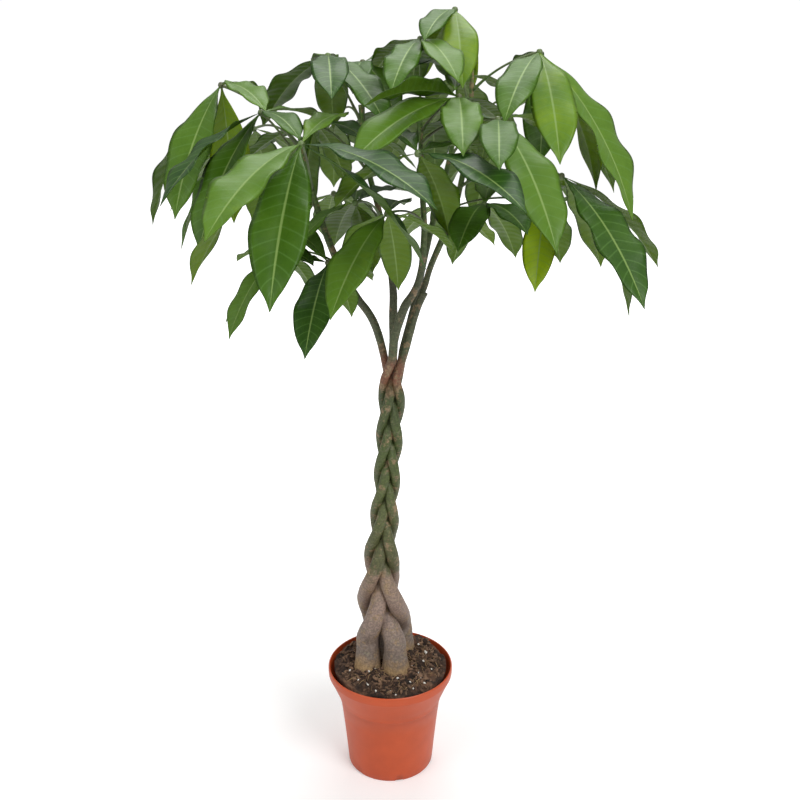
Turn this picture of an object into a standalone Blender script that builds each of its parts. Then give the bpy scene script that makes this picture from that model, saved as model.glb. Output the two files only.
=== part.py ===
"""Potted money tree: nursery pot, soil, five braided stems and fans of leaflets.

Metres, +Z up, the pot standing on Z = 0 about the origin, its front toward -Y.
"""
import math

import bmesh
import bpy
import numpy as np

# ---- pot: radius and height down the outside, then the wall
POT_OUTSIDE = (
    (0.0935, 0.1690), (0.0947, 0.1680), (0.0952, 0.1655), (0.0950, 0.1570), (0.0938, 0.1540),
    (0.0885, 0.1420), (0.0840, 0.1310), (0.0800, 0.1210), (0.0780, 0.1140), (0.0770, 0.1125),
    (0.0740, 0.0880), (0.0716, 0.0650), (0.0692, 0.0400), (0.0670, 0.0150), (0.0658, 0.0020),
    (0.0646, 0.0000),
)
POT_FOOT = ((0.0605, 0.0), (0.0590, 0.0030), (0.0330, 0.0030), (0.0310, 0.0))
POT_INSIDE = (
    (0.0620, 0.0065), (0.0637, 0.0090), (0.0650, 0.0170), (0.0672, 0.0400), (0.0696, 0.0650),
    (0.0720, 0.0880), (0.0755, 0.1140), (0.0780, 0.1210), (0.0820, 0.1310), (0.0865, 0.1420),
    (0.0920, 0.1560), (0.0928, 0.1675),
)
POT_SIDES = 36
DRAIN_COUNT = 6
DRAIN_RADIUS = 0.046
DRAIN_BORE = 0.0045
NOTCH_WIDTH = 0.010
NOTCH_HEIGHT = 0.0022

# ---- soil
SOIL_GAP = 0.00035
SOIL_RINGS = ((0.0765, 0.1275), (0.0862, 0.1490), (0.0700, 0.1585), (0.0550, 0.1650), (0.0350, 0.1700))
SOIL_CROWN = 0.1725
SOIL_SIDES = 24

# ---- braid: height, half width across, half width deep, stem diameter, axis x, axis y
BRAID = (
    (0.150, 0.0310, 0.0360, 0.0310, -0.008, 0.012),
    (0.215, 0.0292, 0.0350, 0.0285, -0.009, 0.012),
    (0.258, 0.0265, 0.0320, 0.0228, -0.012, 0.010),
    (0.323, 0.0188, 0.0240, 0.0164, -0.014, 0.008),
    (0.388, 0.0148, 0.0190, 0.0129, -0.010, 0.006),
    (0.457, 0.0127, 0.0165, 0.0110, -0.005, 0.004),
    (0.600, 0.0125, 0.0160, 0.0108, 0.003, 0.002),
    (0.645, 0.0118, 0.0150, 0.0102, 0.0045, 0.000),
)
# height of each crossing and the fifths of a turn made by then
TURNS = ((0.150, -5.0), (0.225, -5.0), (0.312, -4.0), (0.385, -3.0), (0.448, -2.0), (0.509, -1.0), (0.569, 0.0), (0.634, 1.0), (0.645, 1.17))
START = {1: 54, 2: 126, 3: 198, 5: 270, 4: 342}
SWING = math.radians(5.5)
# upper stems: x, y, z, diameter
UPPER = {
    1: ((-0.0125, 0.012, 0.682, 0.0115), (-0.022, 0.006, 0.712, 0.0110), (-0.033, 0.000, 0.732, 0.0108), (-0.0445, -0.006, 0.750, 0.0106),
        (-0.068, -0.020, 0.800, 0.0095), (-0.088, -0.036, 0.860, 0.0085), (-0.102, -0.050, 0.920, 0.0070), (-0.110, -0.056, 0.965, 0.0055)),
    2: ((0.004, -0.021, 0.664, 0.0125), (0.0065, -0.024, 0.690, 0.0125), (0.0118, -0.027, 0.714, 0.0120), (0.022, -0.032, 0.743, 0.0118),
        (0.034, -0.037, 0.764, 0.0100), (0.043, -0.043, 0.795, 0.0090), (0.046, -0.054, 0.850, 0.0080), (0.042, -0.062, 0.915, 0.0070), (0.040, -0.064, 0.985, 0.0055)),
    3: ((0.006, 0.009, 0.675, 0.0120), (0.0055, 0.006, 0.715, 0.0115), (0.006, 0.006, 0.748, 0.0110), (0.003, 0.007, 0.778, 0.0090),
        (0.000, 0.008, 0.805, 0.0085), (-0.012, 0.006, 0.860, 0.0080), (-0.028, 0.002, 0.925, 0.0070), (-0.036, 0.000, 1.000, 0.0055)),
    4: ((0.0185, -0.012, 0.665, 0.0120), (0.0247, -0.012, 0.686, 0.0115), (0.0322, -0.012, 0.716, 0.0115), (0.0395, -0.011, 0.739, 0.0112), (0.0477, -0.010, 0.7565, 0.0112)),
    5: ((0.0195, 0.010, 0.668, 0.0120), (0.026, 0.022, 0.692, 0.0115), (0.036, 0.034, 0.730, 0.0110), (0.046, 0.042, 0.780, 0.0100),
        (0.060, 0.048, 0.840, 0.0085), (0.076, 0.054, 0.900, 0.0075), (0.092, 0.060, 0.970, 0.0055)),
}
SHOOT4 = ((0.0415, -0.0095, 0.746, 0.0085), (0.0495, -0.0055, 0.767, 0.0085), (0.056, -0.004, 0.790, 0.0085), (0.075, -0.003, 0.835, 0.0085),
          (0.086, -0.004, 0.862, 0.0080), (0.098, -0.008, 0.920, 0.0070), (0.105, -0.010, 0.980, 0.0065), (0.106, -0.010, 1.050, 0.0050))
STEM_NAMES = {1: "left", 2: "front", 3: "middle", 4: "right", 5: "back"}
STEM_SIDES = 8
STEM_STEP = 0.014
STEM_CLEARANCE = 0.0006
BRAID_TOP = 0.620

# ---- leaves: stem, height the stalk leaves it, hub, leaflets (heading deg, dip deg, length mm, roll deg)
LEAVES = {
    "left_high": (1, 0.955, (-0.210, -0.020, 1.025), ((173,60,210), (-110,49,200), (90,76,190), (-61,9,150), (75,11,130))),
    "left_mid": (1, 0.930, (-0.155, -0.070, 0.995), ((-125,28,200,20), (-166,57,200), (-124,52,200), (-63,10,130), (56,10,140))),
    "front_left": (1, 0.900, (-0.095, -0.200, 0.970), ((-44,14,215), (-98,43,225), (163,49,230), (127,40,160), (9,46,210), (71,-9,140), (-113,20,220))),
    "left_behind": (3, 0.920, (-0.095, 0.020, 0.975), ((-127,62,220), (146,25,150), (117,68,160), (71,42,140), (-57,7,140))),
    "left_low": (1, 0.800, (-0.145, -0.020, 0.815), ((-178,53,130), (-135,50,140), (-58,2,100), (136,17,100), (59,45,120))),
    "low_left": (1, 0.775, (-0.075, -0.100, 0.815), ((-99,33,160), (131,16,140), (71,49,120), (123,-12,130), (61,22,120))),
    "mid_low_left": (3, 0.860, (-0.040, -0.100, 0.890), ((-117,14,150,20), (105,30,160), (78,51,140), (56,0,120), (90,4,130))),
    "top_left": (3, 0.985, (-0.075, -0.020, 1.060), ((97,13,130), (129,31,190), (-85,16,160), (-60,27,170), (91,39,160))),
    "top_back": (3, 0.950, (-0.035, 0.080, 1.050), ((48,1,140), (-93,13,150), (121,21,140), (-70,26,150), (74,24,150))),
    "top_mid": (2, 0.980, (0.040, -0.030, 1.080), ((-105,23,150), (-73,18,150), (118,19,140), (65,27,150), (94,28,150))),
    "crown": (4, 1.045, (0.085, 0.030, 1.115), ((-88,35,160), (-110,17,130), (90,30,160), (76,55,150), (115,43,140))),
    "crown_low": (4, 0.990, (0.095, 0.020, 1.035), ((-97,6,120), (112,29,130), (47,18,140), (-119,-6,140), (76,35,160))),
    "right_top": (4, 1.020, (0.185, -0.050, 1.065), ((-86,39,190), (-38,54,240), (22,62,200), (-111,26,170), (94,18,140))),
    "right_back": (5, 0.960, (0.210, 0.080, 1.025), ((115,30,150), (-98,31,180), (65,26,160), (92,6,130), (22,52,200))),
    "front_right": (2, 0.960, (0.125, -0.180, 0.995), ((-70,39,200), (-94,15,150), (57,11,150), (93,25,160), (128,12,140))),
    "centre": (2, 0.975, (0.085, -0.100, 1.015), ((-91,18,170), (-131,1,170,30), (-135,20,190,-15), (57,23,160), (107,25,150))),
    "front_mid": (2, 0.930, (0.035, -0.200, 0.960), ((-57,12,200), (70,43,170), (107,-4,130), (54,5,130), (133,28,170))),
    "front_low": (2, 0.860, (0.000, -0.150, 0.885), ((-114,32,180), (82,51,150), (42,29,130), (119,35,140), (80,4,120))),
    "right_low": (4, 0.900, (0.215, -0.080, 0.920), ((20,40,200), (-63,37,220), (51,49,180), (1,62,210), (91,26,140))),
    "right_mid": (5, 0.850, (0.205, -0.020, 0.880), ((-102,40,150), (108,32,150), (69,44,150), (-134,-13,130), (28,15,130))),
    "mid_low_right": (4, 0.850, (0.120, -0.080, 0.885), ((-105,11,160), (63,37,150), (-73,6,140), (110,44,140), (81,-1,130))),
    "back_right": (5, 0.930, (0.165, 0.190, 0.945), ((10,45,180), (60,40,190), (104,50,190), (140,42,170), (-54,36,150))),
    "back_mid": (5, 0.965, (0.060, 0.200, 0.985), ((53,36,170), (85,38,190), (120,38,190), (155,18,170), (15,30,150))),
    "back_left": (3, 0.970, (-0.080, 0.185, 0.965), ((60,35,160), (95,38,190), (130,40,190), (161,25,180), (20,30,150))),
    "back_side": (1, 0.940, (-0.190, 0.120, 0.960), ((90,40,180), (125,30,190), (160,42,190), (195,42,170), (55,30,150))),
    "back_low": (5, 0.820, (0.070, 0.140, 0.850), ((43,31,150), (80,35,160), (120,35,160), (160,30,140))),
    "back_low_left": (3, 0.850, (-0.080, 0.120, 0.870), ((63,31,150), (100,35,160), (140,35,160), (180,32,150))),
}
SAG = math.radians(34)
HALF_WIDTH = 0.17
FOLD = 0.26
LEAFLET_THICKNESS = 0.0014
LEAFLET_STATIONS = ((0.0, 0.035), (0.15, 0.30), (0.38, 0.86), (0.62, 1.0), (0.84, 0.55))
LEAFLET_START = 0.0032
STALK_GAP = 0.0009
STALK_SIDES = 5
STALK_DIAMETERS = (0.0016, 0.0034, 0.0032, 0.0030, 0.0030, 0.0032, 0.0036)
HUB_RADIUS = 0.0050


def collection(name):
    """A new collection linked to the scene."""
    made = bpy.data.collections.new(name)
    bpy.context.scene.collection.children.link(made)
    return made


def finish(name, colour, roughness):
    """A plain Principled material."""
    made = bpy.data.materials.new(name)
    made.use_nodes = True
    shader = made.node_tree.nodes["Principled BSDF"]
    shader.inputs["Base Color"].default_value = (*colour, 1.0)
    shader.inputs["Roughness"].default_value = roughness
    shader.inputs["Metallic"].default_value = 0.0
    return made


def add_mesh(name, vertices, faces, home, material=None):
    """A mesh object from plain vertices and faces."""
    mesh = bpy.data.meshes.new(name)
    mesh.from_pydata([tuple(float(c) for c in v) for v in vertices], [], faces)
    mesh.update()
    made = bpy.data.objects.new(name, mesh)
    home.objects.link(made)
    if material:
        mesh.materials.append(material)
    return made


def boolean(target, cutter, operation):
    """An exact Boolean modifier."""
    step = target.modifiers.new(cutter.name[:50], "BOOLEAN")
    step.operation = operation
    step.solver = "EXACT"
    step.object = cutter


def hide(cutter):
    """Keep a cutter out of the finished part."""
    cutter.hide_render = True
    cutter.display_type = "WIRE"


def triangulate(mesh, merge=0.0):
    """Split every face into triangles, merging points closer than merge."""
    tidy = bmesh.new()
    tidy.from_mesh(mesh)
    if merge:
        bmesh.ops.remove_doubles(tidy, verts=tidy.verts, dist=merge)
        bmesh.ops.dissolve_degenerate(tidy, edges=tidy.edges, dist=merge)
    bmesh.ops.triangulate(tidy, faces=tidy.faces)
    tidy.to_mesh(mesh)
    tidy.free()


def unite(name, pieces, home, material):
    """Join closed meshes into one closed body and keep only the result."""
    body = pieces[0]
    for piece in pieces:
        triangulate(piece.data)
    for piece in pieces[1:]:
        boolean(body, piece, "UNION")
        bpy.context.view_layer.update()
        mesh = bpy.data.meshes.new_from_object(body.evaluated_get(bpy.context.evaluated_depsgraph_get()))
        triangulate(mesh)
        body.modifiers.clear()
        body.data = mesh
        bpy.data.objects.remove(piece)
    body.name = body.data.name = name
    body.data.materials.clear()
    body.data.materials.append(material)
    return body


def braid_point(stem, height):
    """Centre and diameter of one stem inside the braid.

    Each stem runs a figure of eight: x = a sgn(cos p) |cos p|^1.5, y = -b sin 2p,
    with p growing with height and a fifth of a turn between neighbours.
    """
    heights = [row[0] for row in BRAID]
    a, b, d, ax, ay = (np.interp(height, heights, [row[k] for row in BRAID]) for k in range(1, 6))
    fifths = np.interp(height, [t[0] for t in TURNS], [t[1] for t in TURNS])
    p = math.radians(START[stem] + 72 * (fifths + 5))
    x, y = a * math.copysign(abs(math.cos(p)) ** 1.5, math.cos(p)), -b * math.sin(2 * p)
    c, s = math.cos(SWING), math.sin(SWING)
    return np.array([ax + x * c - y * s, ay + x * s + y * c, height, d - STEM_CLEARANCE])


def smooth_run(points, step):
    """Catmull-Rom run through control points about one step apart."""
    pts = np.asarray(points, float)
    p = np.vstack([2 * pts[0] - pts[1], pts, 2 * pts[-1] - pts[-2]])
    out = []
    for i in range(1, len(p) - 2):
        n = max(2, int(round(np.linalg.norm(p[i + 1, :3] - p[i, :3]) / step)))
        t = (np.arange(n) / n)[:, None]
        out.append(0.5 * (2 * p[i] + (p[i + 1] - p[i - 1]) * t
                          + (2 * p[i - 1] - 5 * p[i] + 4 * p[i + 1] - p[i + 2]) * t**2
                          + (3 * p[i] - p[i - 1] - 3 * p[i + 1] + p[i + 2]) * t**3))
    return np.vstack(out + [p[-2][None]])


def stem_path(stem):
    """Centre line and diameter of a stem from its root to its tip."""
    low = [braid_point(stem, z) for z in np.arange(BRAID[0][0], BRAID_TOP + 1e-6, STEM_STEP)]
    rest = [low[-1], braid_point(stem, BRAID_TOP + STEM_STEP)] + [np.array(q) for q in UPPER[stem]]
    return np.vstack([np.array(low[:-1]), smooth_run(rest, STEM_STEP * 1.25)])


def tube(points, sides):
    """Vertices and faces of a closed round tube along (x, y, z, diameter) points."""
    along = np.gradient(points[:, :3], axis=0)
    along /= np.linalg.norm(along, axis=1)[:, None]
    first = np.cross(along[0], (0.0, -1.0, 0.0))
    if np.linalg.norm(first) < 0.2:
        first = np.cross(along[0], (1.0, 0.0, 0.0))
    across = [first / np.linalg.norm(first)]
    for t in along[1:]:
        u = across[-1] - t * (across[-1] @ t)
        across.append(u / np.linalg.norm(u))
    across = np.array(across)
    other = np.cross(along, across)
    a = np.arange(sides) * 2 * math.pi / sides
    ring = np.cos(a)[None, :, None] * across[:, None] + np.sin(a)[None, :, None] * other[:, None]
    vertices = (points[:, None, :3] + ring * points[:, None, 3:4] / 2).reshape(-1, 3)
    faces = []
    count = len(points)
    for i in range(count - 1):
        for j in range(sides):
            k = (j + 1) % sides
            faces.append((i * sides + j, i * sides + k, (i + 1) * sides + k, (i + 1) * sides + j))
    faces.append(tuple(range(sides))[::-1])
    faces.append(tuple((count - 1) * sides + j for j in range(sides)))
    return vertices, faces


def pot(home, cutters, material):
    """Turned nursery pot with drain holes in a raised channel and notches in its foot."""
    profile = [(0.0, POT_INSIDE[0][1]), *POT_INSIDE, *POT_OUTSIDE, *POT_FOOT, (0.0, 0.0)]
    mesh = bpy.data.meshes.new("pot")
    mesh.from_pydata([(r, 0.0, z) for r, z in profile], [(i, i + 1) for i in range(len(profile) - 1)], [])
    made = bpy.data.objects.new("pot", mesh)
    home.objects.link(made)
    mesh.materials.append(material)
    turn = made.modifiers.new("turn", "SCREW")
    turn.steps = turn.render_steps = POT_SIDES
    turn.use_merge_vertices = True
    turn.merge_threshold = 0.00005
    turn.use_normal_calculate = True
    for i in range(DRAIN_COUNT):
        a = math.radians(15 + 60 * i)
        hole = np.array([[DRAIN_RADIUS * math.cos(a), DRAIN_RADIUS * math.sin(a), z, 2 * DRAIN_BORE] for z in (-0.004, 0.012)])
        cutter = add_mesh(f"drain_{i}", *tube(hole, 12), cutters)
        hide(cutter)
        boolean(made, cutter, "DIFFERENCE")
        b = math.radians(-78 + 60 * i)
        low, high = np.array([math.cos(b), math.sin(b), 0.0]), np.array([-math.sin(b), math.cos(b), 0.0])
        block = [low * r + high * s * NOTCH_WIDTH / 2 + np.array([0, 0, z])
                 for z in (-0.004, NOTCH_HEIGHT) for r, s in ((0.056, -1), (0.075, -1), (0.075, 1), (0.056, 1))]
        sides = [(3, 2, 1, 0), (4, 5, 6, 7), (0, 1, 5, 4), (1, 2, 6, 5), (2, 3, 7, 6), (3, 0, 4, 7)]
        notch = add_mesh(f"notch_{i}", block, sides, cutters)
        hide(notch)
        boolean(made, notch, "DIFFERENCE")
    return made


def soil(home, cutters, material):
    """Soil filling the pot to a low mound, with a socket round each stem."""
    rings = [(r - SOIL_GAP, z + (SOIL_GAP if i == 0 else 0.0)) for i, (r, z) in enumerate(POT_INSIDE[:7])]
    rings += [(r - 0.002, z) for r, z in SOIL_RINGS[:1]] + [(r, z) for r, z in SOIL_RINGS[1:]]
    vertices, faces = [(0.0, 0.0, rings[0][1])], []
    for i, (r, z) in enumerate(rings):
        for j in range(SOIL_SIDES):
            a = 2 * math.pi * j / SOIL_SIDES
            swell = 0.0014 * math.sin(3 * a + i) + 0.0009 * math.sin(7 * a + 2 * i) if i > 8 else 0.0
            vertices.append((r * math.cos(a), r * math.sin(a), z + swell))
    vertices.append((0.0, 0.0, SOIL_CROWN))
    n, last = SOIL_SIDES, len(rings) - 1
    for j in range(n):
        k = (j + 1) % n
        faces.append((0, 1 + k, 1 + j))
        for i in range(last):
            faces.append((1 + i * n + j, 1 + i * n + k, 1 + (i + 1) * n + k, 1 + (i + 1) * n + j))
        faces.append((1 + last * n + j, 1 + last * n + k, len(vertices) - 1))
    made = add_mesh("soil", vertices, faces, home, material)
    for stem, name in STEM_NAMES.items():
        run = np.array([braid_point(stem, z) for z in (0.1496, 0.164, 0.178, 0.192)])
        run[:, 3] += 0.0008
        cutter = add_mesh(f"socket_{name}", *tube(run, STEM_SIDES), cutters)
        hide(cutter)
        boolean(made, cutter, "DIFFERENCE")
    return made


def stems(home, material):
    """The five braided stems; the right one is cut flat and carries a side shoot."""
    paths = {}
    for stem, name in STEM_NAMES.items():
        paths[stem] = stem_path(stem)
        piece = add_mesh(f"stem_{name}", *tube(paths[stem], STEM_SIDES), home, material)
        if name == "right":
            paths["shoot"] = smooth_run(SHOOT4, 0.016)
            shoot = add_mesh("shoot", *tube(paths["shoot"], STEM_SIDES), home, material)
            piece.name = "stem_right_main"
            unite("stem_right", [piece, shoot], home, material)
    return paths


def stalk_path(paths, stem, height, hub):
    """Bowed stalk from just off the stem's side up to the hub."""
    run = paths["shoot"] if stem == 4 and height > 0.757 else paths[stem]
    order = np.argsort(run[:, 2])
    start = np.array([np.interp(height, run[order, 2], run[order, k]) for k in range(4)])
    out = np.array([hub[0] - start[0], hub[1] - start[1], 0.0])
    out /= np.linalg.norm(out)
    p0 = start[:3] + out * (start[3] / 2 + STALK_GAP)
    reach = np.linalg.norm(hub - p0)
    p1 = p0 + out * reach * 0.36 + np.array([0, 0, max(0.25 * reach, (hub[2] - p0[2]) * 0.75)])
    t = np.linspace(0, 1, len(STALK_DIAMETERS))[:, None]
    centre = (1 - t) ** 2 * p0 + 2 * t * (1 - t) * p1 + t**2 * hub
    return np.hstack([centre, np.array(STALK_DIAMETERS)[:, None]])


def leaflet_frame(hub, heading, dip, length, roll, t):
    """Point, tangent, side and normal on a leaflet's drooping midrib at t.

    The dip below the horizon is dip + SAG (t - 1/2) at t along the midrib.
    """
    h, d, r = math.radians(heading), math.radians(dip), math.radians(roll)
    s = (np.arange(60) + 0.5) / 60
    a = d + SAG * (s - 0.5)
    step = np.stack([math.cos(h) * np.cos(a), math.sin(h) * np.cos(a), -np.sin(a)], 1) * length / 60
    line = np.vstack([[0, 0, 0], np.cumsum(step, 0)]) + hub
    point = np.array([np.interp(t, np.linspace(0, 1, 61), line[:, k]) for k in range(3)])
    b = d + SAG * (t - 0.5)
    tangent = np.array([math.cos(h) * math.cos(b), math.sin(h) * math.cos(b), -math.sin(b)])
    level = np.array([-math.sin(h), math.cos(h), 0.0])
    side = level * math.cos(r) + np.cross(tangent, level) * math.sin(r)
    return point, tangent, side, np.cross(tangent, side)


def leaflet(hub, heading, dip, length, roll=0.0):
    """Thin pointed blade folded up a little along its midrib."""
    vertices, faces = [], []
    for t, width in LEAFLET_STATIONS:
        p, _, s, n = leaflet_frame(hub, heading, dip, length, roll, max(t, LEAFLET_START / length))
        w = HALF_WIDTH * length * width
        vertices += [p + s * w + n * FOLD * w, p + n * LEAFLET_THICKNESS / 2,
                     p - s * w + n * FOLD * w, p - n * LEAFLET_THICKNESS / 2]
    vertices.append(leaflet_frame(hub, heading, dip, length, roll, 1.0)[0])
    k = len(LEAFLET_STATIONS)
    faces.append((3, 2, 1, 0))
    for j in range(4):
        for i in range(k - 1):
            a, b = i * 4 + j, i * 4 + (j + 1) % 4
            faces.append((a, b, b + 4, a + 4))
        a, b = (k - 1) * 4 + j, (k - 1) * 4 + (j + 1) % 4
        faces.append((a, b, k * 4))
    return vertices, faces


def hub_ball(hub, home, material):
    """Small round knuckle where the leaflets meet."""
    ball = bmesh.new()
    bmesh.ops.create_icosphere(ball, subdivisions=1, radius=HUB_RADIUS)
    mesh = bpy.data.meshes.new("knuckle")
    ball.to_mesh(mesh)
    ball.free()
    turned = [(v.co[0] * 0.961 - v.co[1] * 0.276, v.co[0] * 0.276 + v.co[1] * 0.961, v.co[2]) for v in mesh.vertices]
    mesh.vertices.foreach_set("co", (np.array(turned) + hub).ravel())
    made = bpy.data.objects.new("knuckle", mesh)
    home.objects.link(made)
    mesh.materials.append(material)
    return made


def leaves(home, paths, material):
    """Every leaf as one body: stalk, knuckle and its fan of leaflets."""
    for name, (stem, height, centre, fan) in LEAVES.items():
        hub = np.array(centre)
        pieces = [add_mesh("stalk", *tube(stalk_path(paths, stem, height, hub), STALK_SIDES), home, material),
                  hub_ball(hub, home, material)]
        for heading, dip, length, *roll in fan:
            shape = leaflet(hub, heading, dip, length / 1000, roll[0] if roll else 0.0)
            pieces.append(add_mesh("leaflet", *shape, home, material))
        unite(f"leaf_{name}", pieces, home, material)


def main():
    """Build the whole plant."""
    for old in list(bpy.data.objects):
        bpy.data.objects.remove(old)
    home, cutters = collection("potted_money_tree"), collection("cutters")
    terracotta = finish("terracotta_plastic", (0.58, 0.09, 0.03), 0.42)
    peat = finish("potting_soil", (0.055, 0.028, 0.015), 0.95)
    bark = finish("green_bark", (0.10, 0.13, 0.05), 0.62)
    green = finish("leaf_green", (0.045, 0.17, 0.018), 0.38)
    pot(home, cutters, terracotta)
    soil(home, cutters, peat)
    paths = stems(home, bark)
    leaves(home, paths, green)


main()
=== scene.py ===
"""Potted money tree: a braided plant with glossy fans of leaflets in a flared nursery pot."""
import logging
import math
from dataclasses import dataclass, field
from enum import Enum
from typing import Any

import bpy
import numpy as np
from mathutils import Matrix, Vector


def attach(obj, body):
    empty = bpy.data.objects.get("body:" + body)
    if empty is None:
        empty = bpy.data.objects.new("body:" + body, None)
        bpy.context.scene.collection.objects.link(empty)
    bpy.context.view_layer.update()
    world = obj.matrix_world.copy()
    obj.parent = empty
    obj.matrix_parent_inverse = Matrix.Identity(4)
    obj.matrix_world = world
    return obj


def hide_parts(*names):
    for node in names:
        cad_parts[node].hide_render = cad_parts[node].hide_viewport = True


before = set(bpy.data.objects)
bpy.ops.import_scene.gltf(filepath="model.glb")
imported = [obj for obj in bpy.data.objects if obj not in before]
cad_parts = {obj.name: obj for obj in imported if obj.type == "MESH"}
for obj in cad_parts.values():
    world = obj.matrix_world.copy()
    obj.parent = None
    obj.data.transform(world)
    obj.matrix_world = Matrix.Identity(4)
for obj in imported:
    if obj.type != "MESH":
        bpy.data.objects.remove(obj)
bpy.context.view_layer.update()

LOG = logging.getLogger("money_tree")
Colour = tuple[float, float, float]
Array = np.ndarray

# Radius and height down the pot's outside, under its foot, and up its wall.
POT_OUTSIDE = (
    (0.0935, 0.1690), (0.0947, 0.1680), (0.0952, 0.1655), (0.0950, 0.1570), (0.0938, 0.1540),
    (0.0885, 0.1420), (0.0840, 0.1310), (0.0800, 0.1210), (0.0780, 0.1140), (0.0770, 0.1125),
    (0.0740, 0.0880), (0.0716, 0.0650), (0.0692, 0.0400), (0.0670, 0.0150), (0.0658, 0.0020),
    (0.0646, 0.0000),
)
POT_FOOT = ((0.0605, 0.0), (0.0590, 0.0030), (0.0330, 0.0030), (0.0310, 0.0))
POT_INSIDE = (
    (0.0620, 0.0065), (0.0637, 0.0090), (0.0650, 0.0170), (0.0672, 0.0400), (0.0696, 0.0650),
    (0.0720, 0.0880), (0.0755, 0.1140), (0.0780, 0.1210), (0.0820, 0.1310), (0.0865, 0.1420),
    (0.0920, 0.1560), (0.0928, 0.1675),
)

# Height, half width, half depth, stem diameter, axis x and y of the braid.
BRAID = (
    (0.150, 0.0310, 0.0360, 0.0310, -0.008, 0.012),
    (0.215, 0.0292, 0.0350, 0.0285, -0.009, 0.012),
    (0.258, 0.0265, 0.0320, 0.0228, -0.012, 0.010),
    (0.323, 0.0188, 0.0240, 0.0164, -0.014, 0.008),
    (0.388, 0.0148, 0.0190, 0.0129, -0.010, 0.006),
    (0.457, 0.0127, 0.0165, 0.0110, -0.005, 0.004),
    (0.600, 0.0125, 0.0160, 0.0108, 0.003, 0.002),
    (0.645, 0.0118, 0.0150, 0.0102, 0.0045, 0.000),
)

# Height of each crossing and the fifths of a turn made by then.
TURNS = ((0.150, -5.0), (0.225, -5.0), (0.312, -4.0), (0.385, -3.0), (0.448, -2.0), (0.509, -1.0),
    (0.569, 0.0), (0.634, 1.0), (0.645, 1.17))
START = {1: 54, 2: 126, 3: 198, 5: 270, 4: 342}
SWING = math.radians(5.5)

# Upper stems: x, y, z, diameter.
UPPER = {
    1: ((-0.0125, 0.012, 0.682, 0.0115), (-0.022, 0.006, 0.712, 0.0110), (-0.033, 0.000, 0.732, 0.0108),
        (-0.0445, -0.006, 0.750, 0.0106),
        (-0.068, -0.020, 0.800, 0.0095), (-0.088, -0.036, 0.860, 0.0085), (-0.102, -0.050, 0.920, 0.0070),
         (-0.110, -0.056, 0.965, 0.0055)),
    2: ((0.004, -0.021, 0.664, 0.0125), (0.0065, -0.024, 0.690, 0.0125), (0.0118, -0.027, 0.714, 0.0120),
        (0.022, -0.032, 0.743, 0.0118),
        (0.034, -0.037, 0.764, 0.0100), (0.043, -0.043, 0.795, 0.0090), (0.046, -0.054, 0.850, 0.0080),
         (0.042, -0.062, 0.915, 0.0070), (0.040, -0.064, 0.985, 0.0055)),
    3: ((0.006, 0.009, 0.675, 0.0120), (0.0055, 0.006, 0.715, 0.0115), (0.006, 0.006, 0.748, 0.0110),
        (0.003, 0.007, 0.778, 0.0090),
        (0.000, 0.008, 0.805, 0.0085), (-0.012, 0.006, 0.860, 0.0080), (-0.028, 0.002, 0.925, 0.0070),
         (-0.036, 0.000, 1.000, 0.0055)),
    4: ((0.0185, -0.012, 0.665, 0.0120), (0.0247, -0.012, 0.686, 0.0115), (0.0322, -0.012, 0.716, 0.0115),
        (0.0395, -0.011, 0.739, 0.0112), (0.0477, -0.010, 0.7565, 0.0112)),
    5: ((0.0195, 0.010, 0.668, 0.0120), (0.026, 0.022, 0.692, 0.0115), (0.036, 0.034, 0.730, 0.0110),
        (0.046, 0.042, 0.780, 0.0100),
        (0.060, 0.048, 0.840, 0.0085), (0.076, 0.054, 0.900, 0.0075), (0.092, 0.060, 0.970, 0.0055)),
}
SHOOT4 = ((0.0415, -0.0095, 0.746, 0.0085), (0.0495, -0.0055, 0.767, 0.0085),
    (0.056, -0.004, 0.790, 0.0085), (0.075, -0.003, 0.835, 0.0085),
          (0.086, -0.004, 0.862, 0.0080), (0.098, -0.008, 0.920, 0.0070), (0.105, -0.010, 0.980, 0.0065),
           (0.106, -0.010, 1.050, 0.0050))

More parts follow.
